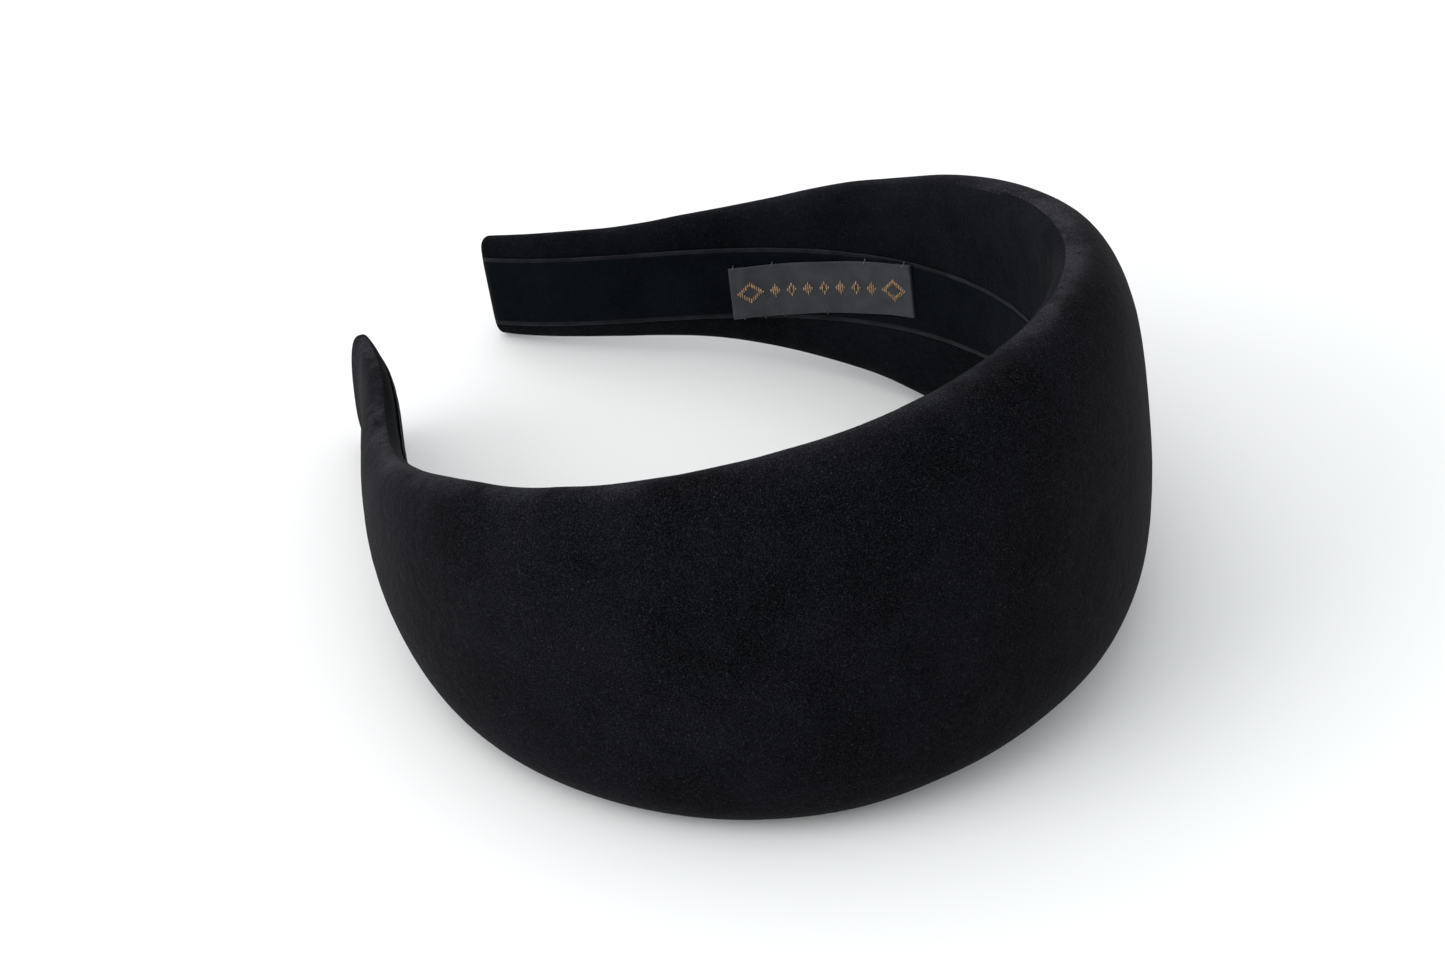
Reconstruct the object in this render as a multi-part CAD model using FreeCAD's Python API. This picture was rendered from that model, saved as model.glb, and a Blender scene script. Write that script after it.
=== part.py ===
"""Wide padded velvet headband, lying at rest on its lower rim.

The band is built along its inner face. A station is a share of an arm's length, from 0 at the
crown to 1 at the tip, and is negative on the left arm. At each station the section has two
coordinates: depth, outwards from the inner face of the turned-in velvet, and height, across the
band. Lengths are millimetres.
"""
import FreeCAD, Part
import math
import os

from FreeCAD import Vector

# --- driving dimensions -------------------------------------------------------------------------
BEND_KEYS = {                             # bend radius from crown to tip, evenly spaced stations;
    1: (72.0, 54.0, 62.0, 148.0, -54.0),  # a negative radius flares outwards (1 right, -1 left)
    -1: (72.0, 56.0, 54.0, 139.0, -46.0),
}
ARM_LENGTH = {1: 187.0, -1: 183.0}        # along the inner face, crown to tip
ARM_DROOP = {1: -2.8, -1: -3.1}           # how far the tip strays from the mid-plane
ARM_TWIST = {1: 5.9, -1: 2.7}             # degrees that the tip is turned about the arm
WIDTH_KEYS = {                            # crown to tip, evenly spaced stations
    1: (73.4, 68.4, 52.2, 29.0, 22.4),
    -1: (73.4, 70.6, 54.0, 25.4, 22.4),
}
THICKNESS_KEYS = (17.9, 14.5, 9.5, 4.5)   # crown to tip, evenly spaced stations
EDGE_DEPTH = 3.4                          # depth of the widest line of the rounded rim
OUTER_POWER = 2.7                         # squareness of the outer section
INNER_POWER = 4.0                         # squareness of the inner section

VELVET = 0.9                              # pile and backing together
CORE = 1.6                                # stiff plastic strip
CORE_SHARE = 0.74                         # of the band's width
CORE_SETBACK = 2.9                        # the strip stops this short of the velvet's tip
CORE_CORNER = 4.0                         # radius of the strip's corners
FILM_SETBACK = 3.9                        # tape and glue stop this short of the velvet's tip
FILM_MARGIN = 1.0                         # glue stops this short of the strip's long edges
FILM = 0.17                               # glue films
TAPE = 0.3                                # double-sided foam tape over the strip
TAPE_WIDTH = 12.0
FIT = 0.03                                # clearance between neighbouring layers
SLOT_HALF = 5.0                           # half the gap between the velvet's turned-in edges
SLOT_MARGIN = 0.2                         # left free on each side of the glue in that gap
PAD_CROWN = 9.5                           # sponge at the crown, over the base foam
PAD_EDGE = 0.4                            # sponge left at the ends of the pad
PAD_END = 0.75                            # station where the pad ends
PAD_SIDE = math.radians(16)               # section angle where the pad's long edges are cut
RIBBON_WIDTH = 16.0
RIBBON = 0.7
RIBBON_END = 0.6                          # the ribbon stops this short of the tip
LABEL_STATIONS = (0.532, 0.738)           # right arm
LABEL_WIDTH = 11.6
LABEL = 0.25                              # one woven layer
LABEL_FOLD = 4.0                          # length of the end turned under
LABEL_HEIGHTS = (2.0, -2.1)               # height of its centre line at the two ends
THREAD = 0.32                             # diameter of the label's sewing thread
STITCH = 1.7                              # length of one stitch across the label's edge
STITCH_STATIONS = {1: (0.540, 0.587, 0.691, 0.733), -1: (0.540, 0.636, 0.683, 0.704, 0.726)}
REST_TILT = -9.4                          # degrees about X: both shoulders and a tip touch

STATIONS = 12                             # sections per arm
ARC_STEPS = 8                             # integration steps between two sections
CURVE_POINTS = 9                          # points in half of a section curve
SAME_STATION = 1e-9
NEAR_STATION = 0.02                       # two sections closer than this are too close for a surface

# depths of the layers at the middle of the band
GLUE_IN = VELVET + FIT
CORE_IN = GLUE_IN + FILM + FIT
CORE_OUT = CORE_IN + CORE
TAPE_OUT = CORE_OUT + FIT + TAPE
FOAM_IN = TAPE_OUT + FIT


def smooth(keys, share):
    """Catmull-Rom curve through evenly spaced keys; level at the crown."""
    spans = len(keys) - 1
    padded = [keys[1], *keys, 2 * keys[-1] - keys[-2]]
    place = min(abs(share), 1.0) * spans
    index = min(int(place), spans - 1)
    part = place - index
    a, b, c, d = padded[index:index + 4]
    return b + 0.5 * part * (c - a + part * (2 * a - 5 * b + 4 * c - d + part * (3 * (b - c) + d - a)))


def side_of(station):
    return 1 if station >= 0 else -1


def width(station):
    return smooth(WIDTH_KEYS[side_of(station)], station)


def thickness(station):
    return smooth(THICKNESS_KEYS, station)


def edge_depth(station):
    return min(EDGE_DEPTH, 0.45 * thickness(station))


def arm_line(side, count):
    """Points (station, x, y, heading) of one arm's inner face, crown to tip."""
    bends = [1 / radius for radius in BEND_KEYS[side]]
    step = ARM_LENGTH[side] / (count * ARC_STEPS)
    x, y, heading = 0.0, 0.0, 0.0
    line = [(0.0, x, y, heading)]
    for k in range(count * ARC_STEPS):
        middle = (k + 0.5) / (count * ARC_STEPS)
        half_turn = 0.5 * step * smooth(bends, middle)
        heading += half_turn
        x += step * math.cos(heading)
        y += step * math.sin(heading)
        heading += half_turn
        if (k + 1) % ARC_STEPS == 0:
            line.append(((k + 1) / (count * ARC_STEPS), x, y, heading))
    return line


def band_frames(count):
    """{station: (origin, outward, upward)} from the left tip to the right tip."""
    frames = {}
    for side in (-1, 1):
        for station, x, y, heading in arm_line(side, count):
            outward = Vector(side * math.sin(heading), -math.cos(heading), 0)
            twist = math.radians(ARM_TWIST[side]) * station ** 2
            up = Vector(0, 0, math.cos(twist)) + outward * -math.sin(twist)
            out = outward * math.cos(twist) + Vector(0, 0, math.sin(twist))
            origin = Vector(side * x, y, ARM_DROOP[side] * station ** 2)
            frames[side * station] = (origin, out, up)
    return dict(sorted(frames.items()))


FRAMES = band_frames(STATIONS)
KEYS = list(FRAMES)


def frame_at(station):
    """Frame between two sections: linear blending, with the bend's sagitta added."""
    below = max(k for k in KEYS[:-1] if k <= station + SAME_STATION)
    above = KEYS[KEYS.index(below) + 1]
    share = (station - below) / (above - below)
    chord = (FRAMES[above][0] - FRAMES[below][0]).Length
    mixed = [a * (1 - share) + b * share for a, b in zip(FRAMES[below], FRAMES[above])]
    sagitta = share * (1 - share) * chord ** 2 * curvature(station) / 2
    return mixed[0] + mixed[1] * sagitta, mixed[1].normalize(), mixed[2].normalize()


def curvature(station):
    return smooth([1 / radius for radius in BEND_KEYS[side_of(station)]], station)


def place(frame, height, depth):
    origin, out, up = frame
    return origin + out * depth + up * height


def squircle(angle, power):
    """Point of the unit curve |x|^power + |y|^power = 1 in the given direction."""
    c, s = math.cos(angle), math.sin(angle)
    radius = (abs(c) ** power + abs(s) ** power) ** (-1 / power)
    return c * radius, s * radius


def outer_curve(station, inset=0.0, top=None, start=0.0):
    """(height, depth) over the outer side, upper rim to lower rim."""
    half = width(station) / 2 - inset
    rim = edge_depth(station)
    rise = (thickness(station) - inset if top is None else top) - rim
    points = []
    for k in range(2 * CURVE_POINTS - 1):
        angle = start + (math.pi - 2 * start) * k / (2 * CURVE_POINTS - 2)
        x, y = squircle(angle, OUTER_POWER)
        points.append((half * x, rim + rise * y))
    return points


def inner_corner(station, side, inset, stop):
    """(height, depth) from the rim, round onto the inner face, to the height stop."""
    half = width(station) / 2 - inset
    rim = edge_depth(station)
    share = stop / half
    last = math.atan2((1 - share ** INNER_POWER) ** (1 / INNER_POWER), share)
    points = []
    for k in range(CURVE_POINTS):
        x, y = squircle(last * k / (CURVE_POINTS - 1), INNER_POWER)
        points.append((side * half * x, rim - (rim - inset) * y))
    return points


def fitted(points, places):
    """Cubic spline through points at the given parameters."""
    curve = Part.BSplineCurve()
    curve.interpolate(Points=points, Parameters=places)
    return curve


def surface(rows, stations):
    """Spline surface through rows of points, one row for each station."""
    across = [k / (len(rows[0]) - 1) for k in range(len(rows[0]))]
    crossings = [fitted(row, across) for row in rows]
    columns = zip(*[curve.getPoles() for curve in crossings])
    lengths = [fitted(list(column), stations) for column in columns]
    result = Part.BSplineSurface()
    result.buildFromPolesMultsKnots(
        [curve.getPoles() for curve in lengths],
        crossings[0].getMultiplicities(), lengths[0].getMultiplicities(),
        crossings[0].getKnots(), lengths[0].getKnots(),
        False, False, crossings[0].Degree, lengths[0].Degree)
    return result


def end_face(surfaces, place_along):
    return Part.Face(Part.Wire([one.vIso(place_along).toShape() for one in surfaces]))


def loft(section, stations):
    """Solid whose sides pass through section(station), closed flat at both ends."""
    frames = [frame_at(station) for station in stations]
    outlines = [section(station) for station in stations]
    surfaces = []
    for index in range(len(outlines[0])):
        following = (index + 1) % len(outlines[0])
        side = [[place(f, *p) for p in o[index]] for f, o in zip(frames, outlines)]
        joint = [[row[-1], place(f, *o[following][0])] for row, f, o in zip(side, frames, outlines)]
        surfaces += [surface(side, stations), surface(joint, stations)]
    faces = [one.toShape() for one in surfaces]
    faces += [end_face(surfaces, stations[0]), end_face(surfaces, stations[-1])]
    shell = Part.Shell(faces)
    shell.sewShape()
    solid = Part.Solid(shell)
    return solid if solid.Volume > 0 else Part.Solid(shell.reversed())


def span(first, last):
    """Stations from first to last, with the band's own sections between them."""
    inside = [key for key in KEYS if first + NEAR_STATION < key < last - NEAR_STATION]
    return [first, *inside, last]


def tip(side, setback):
    """Station that lies the given length short of the tip."""
    return side * (1 - setback / ARM_LENGTH[side])


def slab(low, high, inner, outer):
    """Rectangular section function; low and high may vary with the station."""
    def section(station):
        bottom = low(station) if callable(low) else low
        top = high(station) if callable(high) else high
        return [[(top, inner), (top, outer)], [(bottom, outer), (bottom, inner)]]
    return section


def wrap(station, inset):
    """The whole curve round the band, from one slot edge to the other."""
    upper = inner_corner(station, 1, inset, SLOT_HALF)
    lower = inner_corner(station, -1, inset, SLOT_HALF)
    return upper[::-1] + outer_curve(station, inset)[1:-1] + lower


def cover_section(station):
    return [wrap(station, 0.0), wrap(station, VELVET)[::-1]]


def full_section(station):
    return [wrap(station, 0.0), [(-SLOT_HALF, 0.0), (SLOT_HALF, 0.0)]]


def make_cover():
    """Velvet skin, open along the middle of the inner face and closed at the tips."""
    ends = [tip(side, VELVET) for side in (-1, 1)]
    skin = loft(cover_section, span(*ends))
    closures = [loft(full_section, sorted((end, math.copysign(1.0, end)))) for end in ends]
    return skin.fuse(closures).removeSplitter()


def core_half(station):
    return CORE_SHARE * width(station) / 2


def make_core():
    ends = [tip(side, CORE_SETBACK) for side in (-1, 1)]
    strip = loft(slab(lambda s: -core_half(s), core_half, CORE_IN, CORE_OUT), span(*ends))
    corners = []
    for edge in strip.Edges:
        if edge.Length < CORE * 1.01 and edge.Length > CORE * 0.99:
            corners.append(edge)
    return strip.makeFillet(CORE_CORNER, corners)


def foam_top(station):
    return thickness(station) - VELVET - FIT


def pad_height(station):
    return max(PAD_CROWN * (1 - (station / PAD_END) ** 2) + PAD_EDGE, 0.0)


def base_section(station):
    """Foam over the core's outer face and round both its long edges."""
    inset = VELVET + FIT
    half = core_half(station) + FIT
    upper = inner_corner(station, 1, inset, half)[::-1]
    lower = inner_corner(station, -1, inset, half)
    top = foam_top(station) - pad_height(station)
    outside = upper + outer_curve(station, inset, top)[1:-1] + lower
    return [outside, [(-half, FOAM_IN), (half, FOAM_IN)]]


def pad_section(station):
    """Crescent of sponge between the base foam and the velvet."""
    inset = VELVET + FIT
    bottom = foam_top(station) - pad_height(station) + FIT
    outside = outer_curve(station, inset, foam_top(station), PAD_SIDE)
    inside = outer_curve(station, inset + FIT, bottom, PAD_SIDE)
    return [outside, inside[::-1]]


def make_glue_pair():
    """Glue films that hold the turned-in velvet to the core, above and below the slot."""
    ends = [tip(side, FILM_SETBACK) for side in (-1, 1)]
    start = SLOT_HALF + FIT
    outer = GLUE_IN + FILM
    upper = loft(slab(start, lambda s: core_half(s) - FILM_MARGIN, GLUE_IN, outer), span(*ends))
    lower = loft(slab(lambda s: FILM_MARGIN - core_half(s), -start, GLUE_IN, outer), span(*ends))
    return Part.makeCompound([upper, lower])


def label_centre(station):
    first, last = LABEL_STATIONS
    share = (station - first) / (last - first)
    return LABEL_HEIGHTS[0] * (1 - share) + LABEL_HEIGHTS[1] * share


def label_slab(inner, outer):
    half = LABEL_WIDTH / 2
    return slab(lambda s: label_centre(s) - half, lambda s: label_centre(s) + half, inner, outer)


def make_label():
    """Woven label whose two ends are turned under."""
    face = -RIBBON - FIT
    first, last = LABEL_STATIONS
    fold = LABEL_FOLD / ARM_LENGTH[1]
    sheet = loft(label_slab(face - 2 * LABEL, face - LABEL), span(first, last))
    for start in (first, last - fold):
        turned = label_slab(face - 1.5 * LABEL, face)
        sheet = sheet.fuse(loft(turned, [start, start + fold / 2, start + fold]))
    return sheet.Solids[0]


def make_stitches():
    """Short threads over the label's two long edges."""
    depth = -RIBBON - FIT - 2 * LABEL - FIT - THREAD / 2
    threads = []
    for side, stations in STITCH_STATIONS.items():
        for station in stations:
            frame = frame_at(station)
            middle = label_centre(station) + side * LABEL_WIDTH / 2
            start = place(frame, middle - STITCH / 2, depth)
            threads.append(Part.makeCylinder(THREAD / 2, STITCH, start, frame[2]))
    return Part.makeCompound(threads)


def build():
    """{node name: shape} in the band's own symmetric frame."""
    film_ends = [tip(side, FILM_SETBACK) for side in (-1, 1)]
    foam_ends = [tip(side, VELVET + FIT) for side in (-1, 1)]
    ribbon_ends = [tip(side, RIBBON_END) for side in (-1, 1)]
    slot = SLOT_HALF - SLOT_MARGIN
    half = RIBBON_WIDTH / 2
    return {
        "core_band": make_core(),
        "pad_tape": loft(slab(-TAPE_WIDTH / 2, TAPE_WIDTH / 2, CORE_OUT + FIT, TAPE_OUT),
                         span(*film_ends)),
        "base_foam": loft(base_section, span(*foam_ends)),
        "crown_pad": loft(pad_section, span(-PAD_END, PAD_END)),
        "velvet_cover": make_cover(),
        "turn_in_glue": make_glue_pair(),
        "lining_glue": loft(slab(-slot, slot, FIT, CORE_IN - FIT), span(*film_ends)),
        "lining_ribbon": loft(slab(-half, half, -RIBBON, -FIT), span(*ribbon_ends)),
        "woven_label": make_label(),
        "label_stitches": make_stitches(),
    }


def main():
    os.makedirs("parts", exist_ok=True)
    shapes = build()
    for shape in shapes.values():
        shape.rotate(Vector(0, 0, 0), Vector(1, 0, 0), REST_TILT)
    box = shapes["velvet_cover"].optimalBoundingBox(False, False)
    shift = Vector(-(box.XMin + box.XMax) / 2, -(box.YMin + box.YMax) / 2, -box.ZMin)
    for name, shape in shapes.items():
        shape.translate(shift)
        shape.exportStep(f"parts/{name}.step")
        print(name, "solids", len(shape.Solids), "valid", shape.isValid(),
              "volume", round(shape.Volume, 1))
    print("size", [round(v, 2) for v in (box.XLength, box.YLength, box.ZLength)], "shift", shift)


main()
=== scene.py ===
"""Wide padded velvet headband: velvet cover over sponge, ribbon lining, woven label, stitches.

Every visible piece is laid out in band coordinates: station (share of an arm's length, -1 at the
left tip, 0 at the crown, 1 at the right tip), height across the band and depth outwards from the
inner face. Lengths are metres. The rest transform then lays the band on its lower rim.
"""
import bmesh
import bpy
import math
import random

import numpy as np
from mathutils import Matrix, Vector, noise


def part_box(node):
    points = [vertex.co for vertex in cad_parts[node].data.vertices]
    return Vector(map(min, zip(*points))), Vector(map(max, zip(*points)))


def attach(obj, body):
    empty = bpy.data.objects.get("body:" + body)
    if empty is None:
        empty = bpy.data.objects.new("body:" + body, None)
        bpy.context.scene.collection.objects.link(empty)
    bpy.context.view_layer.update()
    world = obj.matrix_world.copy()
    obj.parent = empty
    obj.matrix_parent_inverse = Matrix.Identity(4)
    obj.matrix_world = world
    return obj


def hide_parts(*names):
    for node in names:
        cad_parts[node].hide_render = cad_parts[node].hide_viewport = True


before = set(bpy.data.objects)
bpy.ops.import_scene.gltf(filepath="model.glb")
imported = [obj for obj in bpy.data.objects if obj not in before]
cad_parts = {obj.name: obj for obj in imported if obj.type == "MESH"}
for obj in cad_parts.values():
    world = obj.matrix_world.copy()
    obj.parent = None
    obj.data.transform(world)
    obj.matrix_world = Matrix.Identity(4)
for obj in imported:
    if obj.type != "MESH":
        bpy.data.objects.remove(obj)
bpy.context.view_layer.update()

MM = 0.001

# --- the band's driving dimensions, as in the CAD model -------------------------------------------
BEND_KEYS = {                                  # bend radius from crown to tip, mm
    1: (72.0, 54.0, 62.0, 148.0, -54.0),
    -1: (72.0, 56.0, 54.0, 139.0, -46.0),
}
ARM_LENGTH = {1: 187.0 * MM, -1: 183.0 * MM}
ARM_DROOP = {1: -2.8 * MM, -1: -3.1 * MM}
ARM_TWIST = {1: math.radians(5.9), -1: math.radians(2.7)}
WIDTH_KEYS = {                                 # mm, crown to tip
    1: (73.4, 68.4, 52.2, 29.0, 22.4),
    -1: (73.4, 70.6, 54.0, 25.4, 22.4),
}
THICKNESS_KEYS = (17.9, 14.5, 9.5, 4.5)        # mm, crown to tip
EDGE_DEPTH = 3.4 * MM
RIM_SHARE = 0.45                               # most of the thickness that the inner rim may take
OUTER_POWER = 2.7
INNER_POWER = 4.0
VELVET = 0.9 * MM
SLOT_HALF = 5.0 * MM
RIBBON_WIDTH = 16.0 * MM
RIBBON = 0.7 * MM
RIBBON_END = 0.6 * MM
FIT = 0.03 * MM
LABEL_STATIONS = (0.532, 0.738)
LABEL_WIDTH = 11.6 * MM
LABEL_LAYER = 0.25 * MM
LABEL_HEIGHTS = (2.0 * MM, -2.1 * MM)
STITCH_STATIONS = {1: (0.540, 0.587, 0.691, 0.733), -1: (0.540, 0.636, 0.683, 0.704, 0.726)}
REST_TILT = math.radians(-9.4)

# --- resolution -----------------------------------------------------------------------------------
LINE_STEPS = 1500                              # integration steps along one arm
COVER_ROWS = 150                               # cover rings from tip to tip
COVER_RING = 72                                # cover points round one ring
SECTION_FINE = 60                              # points in a quarter of a finely sampled section

# --- view -----------------------------------------------------------------------------------------
VIEW_CENTRE = Vector((0.0, 61.1, 0.0)) * MM    # band frame
VIEW_ANGLES = (-1.009, -0.0964, 0.8366)        # pitch, lean and turn of the view, radians
VIEW_SHIFT = (-0.80 * MM, 8.07 * MM)           # the centre's offset right and up in the view
VIEW_DISTANCE = 734 * MM
VIEW_LENS = 100.5                              # mm on a 36 mm wide sensor

random.seed(7)


# --- the band's geometry --------------------------------------------------------------------------
def smooth(keys, share):
    """Catmull-Rom curve through evenly spaced keys, level at the crown; share may be an array."""
    spans = len(keys) - 1
    padded = np.array([keys[1], *keys, 2 * keys[-1] - keys[-2]], float)
    place = np.clip(np.abs(share), 0.0, 1.0) * spans
    index = np.minimum(place.astype(int), spans - 1)
    part = place - index
    a, b, c, d = (padded[index + k] for k in range(4))
    return b + 0.5 * part * (c - a + part * (2 * a - 5 * b + 4 * c - d + part * (3 * (b - c) + d - a)))


def arm_line(side):
    """Arrays (station, x, y, heading) along one arm's inner face, crown to tip."""
    bends = [1 / (radius * MM) for radius in BEND_KEYS[side]]
    step = ARM_LENGTH[side] / LINE_STEPS
    middles = (np.arange(LINE_STEPS) + 0.5) / LINE_STEPS
    turns = step * smooth(bends, middles)
    heading = np.concatenate([[0.0], np.cumsum(turns)])
    middle_heading = (heading[1:] + heading[:-1]) / 2
    x = np.concatenate([[0.0], np.cumsum(step * np.cos(middle_heading))])
    y = np.concatenate([[0.0], np.cumsum(step * np.sin(middle_heading))])
    return np.linspace(0, 1, LINE_STEPS + 1), x, y, heading


def band_table():
    """Columns of station, origin, outward and upward direction, left tip to right tip."""
    rows = []
    for side in (-1, 1):
        station, x, y, heading = arm_line(side)
        zero = np.zeros_like(x)
        twist = ARM_TWIST[side] * station ** 2
        outward = np.stack([side * np.sin(heading), -np.cos(heading), zero], 1)
        level = np.array([0.0, 0.0, 1.0])
        cos, sin = np.cos(twist)[:, None], np.sin(twist)[:, None]
        origin = np.stack([side * x, y, ARM_DROOP[side] * station ** 2], 1)
        table = np.hstack([side * station[:, None], origin,
                           outward * cos + level * sin, level * cos - outward * sin])
        rows.append(table[::-1] if side < 0 else table[1:])
    return np.vstack(rows)


TABLE = band_table()


def place(station, height, depth):
    """Points in the band frame; the three arguments broadcast against each other."""
    station, height, depth = np.broadcast_arrays(station, height, depth)
    columns = [np.interp(station, TABLE[:, 0], TABLE[:, k]) for k in range(1, 10)]
    origin, out, up = (np.stack(columns[k:k + 3], -1) for k in (0, 3, 6))
    out /= np.linalg.norm(out, axis=-1, keepdims=True)
    up /= np.linalg.norm(up, axis=-1, keepdims=True)
    return origin + out * depth[..., None] + up * height[..., None]


def tilt(points):
    """The band frame turned so that the band lies on its lower rim."""
    c, s = math.cos(REST_TILT), math.sin(REST_TILT)
    return points @ np.array([[1, 0, 0], [0, c, s], [0, -s, c]])


def tip(side, setback):
    return side * (1 - setback / ARM_LENGTH[side])


def rest_shift():
    """How far the tilted band frame is moved: the ribbon's box meets its CAD node's box."""
    stations = np.linspace(tip(-1, RIBBON_END), tip(1, RIBBON_END), 2000)
    corners = [place(stations, h, d) for h in (-RIBBON_WIDTH / 2, RIBBON_WIDTH / 2)
               for d in (-RIBBON, -FIT)]
    tilted = tilt(np.vstack(corners))
    low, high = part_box("lining_ribbon")
    return (np.array(low) + np.array(high) - tilted.min(0) - tilted.max(0)) / 2


SHIFT = rest_shift()


def rest(points):
    return tilt(points) + SHIFT


def arc(station):
    """Signed arc length from the crown."""
    return station * np.where(station < 0, ARM_LENGTH[-1], ARM_LENGTH[1])


def station_of(length):
    return length / np.where(length < 0, ARM_LENGTH[-1], ARM_LENGTH[1])


def squircle(angle, power):
    c, s = np.cos(angle), np.sin(angle)
    radius = (np.abs(c) ** power + np.abs(s) ** power) ** (-1 / power)
    return c * radius, s * radius


# --- mesh helpers ---------------------------------------------------------------------------------
def add_mesh(name, points, faces):
    """A smooth-shaded piece, linked to the scene."""
    mesh = bpy.data.meshes.new(name)
    mesh.from_pydata([tuple(p) for p in points], [], faces)
    mesh.update()
    mesh.polygons.foreach_set("use_smooth", [True] * len(mesh.polygons))
    piece = bpy.data.objects.new(name, mesh)
    bpy.context.scene.collection.objects.link(piece)
    return piece


def grid_faces(rows, columns):
    """Quads of a grid stored row by row."""
    faces = []
    for r in range(rows - 1):
        for c in range(columns - 1):
            faces.append((r * columns + c, r * columns + c + 1,
                          (r + 1) * columns + c + 1, (r + 1) * columns + c))
    return faces


def slab_faces(rows, columns):
    """Faces of a closed slab: a top grid, then a bottom grid of the same size, joined at the edge."""
    count = rows * columns
    upper = grid_faces(rows, columns)
    faces = upper + [tuple(count + k for k in reversed(quad)) for quad in upper]
    edge = [(r, 0) for r in range(rows)]
    edge += [(rows - 1, c) for c in range(1, columns)]
    edge += [(r, columns - 1) for r in range(rows - 2, -1, -1)]
    edge += [(0, c) for c in range(columns - 2, 0, -1)]
    loop = [r * columns + c for r, c in edge]
    for index, start in enumerate(loop):
        end = loop[(index + 1) % len(loop)]
        faces.append((start, end, count + end, count + start))
    return faces


def store(piece, name, values):
    """Per-point vectors that a material reads by name."""
    made = piece.data.attributes.new(name, "FLOAT_VECTOR", "POINT")
    made.data.foreach_set("vector", np.asarray(values, np.float32).ravel())


def points_of(piece):
    values = np.empty(len(piece.data.vertices) * 3)
    piece.data.vertices.foreach_get("co", values)
    return values.reshape(-1, 3)


def set_points(piece, points):
    piece.data.vertices.foreach_set("co", np.asarray(points, float).ravel())
    piece.data.update()


def apply_modifiers(piece):
    graph = bpy.context.evaluated_depsgraph_get()
    mesh = bpy.data.meshes.new_from_object(piece.evaluated_get(graph))
    piece.modifiers.clear()
    piece.data = mesh


def outward_faces(piece):
    """Turns the faces of a closed piece outwards."""
    work = bmesh.new()
    work.from_mesh(piece.data)
    bmesh.ops.recalc_face_normals(work, faces=work.faces)
    work.to_mesh(piece.data)
    work.free()
    piece.data.polygons.foreach_set("use_smooth", [True] * len(piece.data.polygons))


# --- velvet cover ---------------------------------------------------------------------------------
TIP_ROUND = 1.3 * MM
TIP_ROWS = (0.0, 0.05, 0.18, 0.4, 0.7, 1.0, 1.5)   # shares of TIP_ROUND where rings lie at a tip
SLOT_END = 3.5 * MM                                # the slot stops this short of the tip
CAP_RINGS = (0.75, 0.45, 0.18)


def cover_stations():
    near = np.array(TIP_ROWS) * TIP_ROUND
    left = -(ARM_LENGTH[-1] - near)
    right = (ARM_LENGTH[1] - near)[::-1]
    middle = np.linspace(left[-1], right[0], COVER_ROWS + 2)[1:-1]
    return station_of(np.concatenate([left, middle, right]))


def ring_path(station):
    """Finely sampled (height, depth) round one section, slot edge to slot edge."""
    half = smooth(WIDTH_KEYS[1 if station >= 0 else -1], station) * MM / 2
    top = smooth(THICKNESS_KEYS, station) * MM
    rim = min(EDGE_DEPTH, RIM_SHARE * top)
    side = 1 if station >= 0 else -1
    gap = min((1 - abs(station)) * ARM_LENGTH[side], TIP_ROUND)
    shrink = TIP_ROUND - math.sqrt(TIP_ROUND ** 2 - (TIP_ROUND - gap) ** 2)
    half, top, low = half - shrink, top - 0.8 * shrink, 0.4 * shrink
    share = SLOT_HALF / half
    last = math.atan2((1 - share ** INNER_POWER) ** (1 / INNER_POWER), share)
    x, y = squircle(np.linspace(last, 0, SECTION_FINE), INNER_POWER)
    upper = np.stack([half * x, rim - (rim - low) * y], 1)
    x, y = squircle(np.linspace(0, math.pi, 2 * SECTION_FINE), OUTER_POWER)
    outer = np.stack([half * x, rim + (top - rim) * y], 1)
    lower = upper[::-1] * (-1, 1)
    return np.vstack([upper, outer[1:-1], lower])


def even_path(path, count):
    """The path's points spaced evenly along it."""
    steps = np.linalg.norm(np.diff(path, axis=0), axis=1)
    travelled = np.concatenate([[0], np.cumsum(steps)])
    wanted = np.linspace(0, travelled[-1], count)
    return np.stack([np.interp(wanted, travelled, path[:, k]) for k in range(2)], 1)


def cover_grid():
    """(stations, heights, depths) of the cover's outer skin as arrays of rings."""
    stations = cover_stations()
    paths = np.array([even_path(ring_path(s), COVER_RING) for s in stations])
    return np.repeat(stations[:, None], COVER_RING, 1), paths[..., 0], paths[..., 1]


def make_skin():
    """Open skin: rings from tip to tip, closed ends, and a slot under the ribbon."""
    stations, heights, depths = cover_grid()
    rows = len(stations)
    band = np.stack([stations, heights, depths], -1).reshape(-1, 3)
    slot_limit = [abs(tip(side, SLOT_END)) for side in (-1, 1)]
    faces = []
    for r in range(rows - 1):
        for c in range(COVER_RING):
            open_here = abs(stations[r, 0]) < slot_limit[int(stations[r, 0] > 0)]
            if c == COVER_RING - 1 and open_here:
                continue
            following = (c + 1) % COVER_RING
            faces.append((r * COVER_RING + c, r * COVER_RING + following,
                          (r + 1) * COVER_RING + following, (r + 1) * COVER_RING + c))
    for row in (0, rows - 1):
        centre = np.array([stations[row, 0], 0.0, depths[row].mean()])
        ring = list(range(row * COVER_RING, (row + 1) * COVER_RING))
        for share in CAP_RINGS:
            start = len(band)
            scaled = centre + (band[row * COVER_RING:(row + 1) * COVER_RING] - centre) * (1, share, share)
            band = np.vstack([band, scaled])
            inner = list(range(start, start + COVER_RING))
            for c in range(COVER_RING):
                following = (c + 1) % COVER_RING
                faces.append((ring[c], ring[following], inner[following], inner[c]))
            ring = inner
        band = np.vstack([band, centre])
        for c in range(COVER_RING):
            faces.append((ring[c], ring[(c + 1) % COVER_RING], len(band) - 1))
    skin = add_mesh("velvet_cover", rest(place(*band.T)), faces)
    outward_faces(skin)
    return skin, band


cover, cover_band = make_skin()


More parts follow.
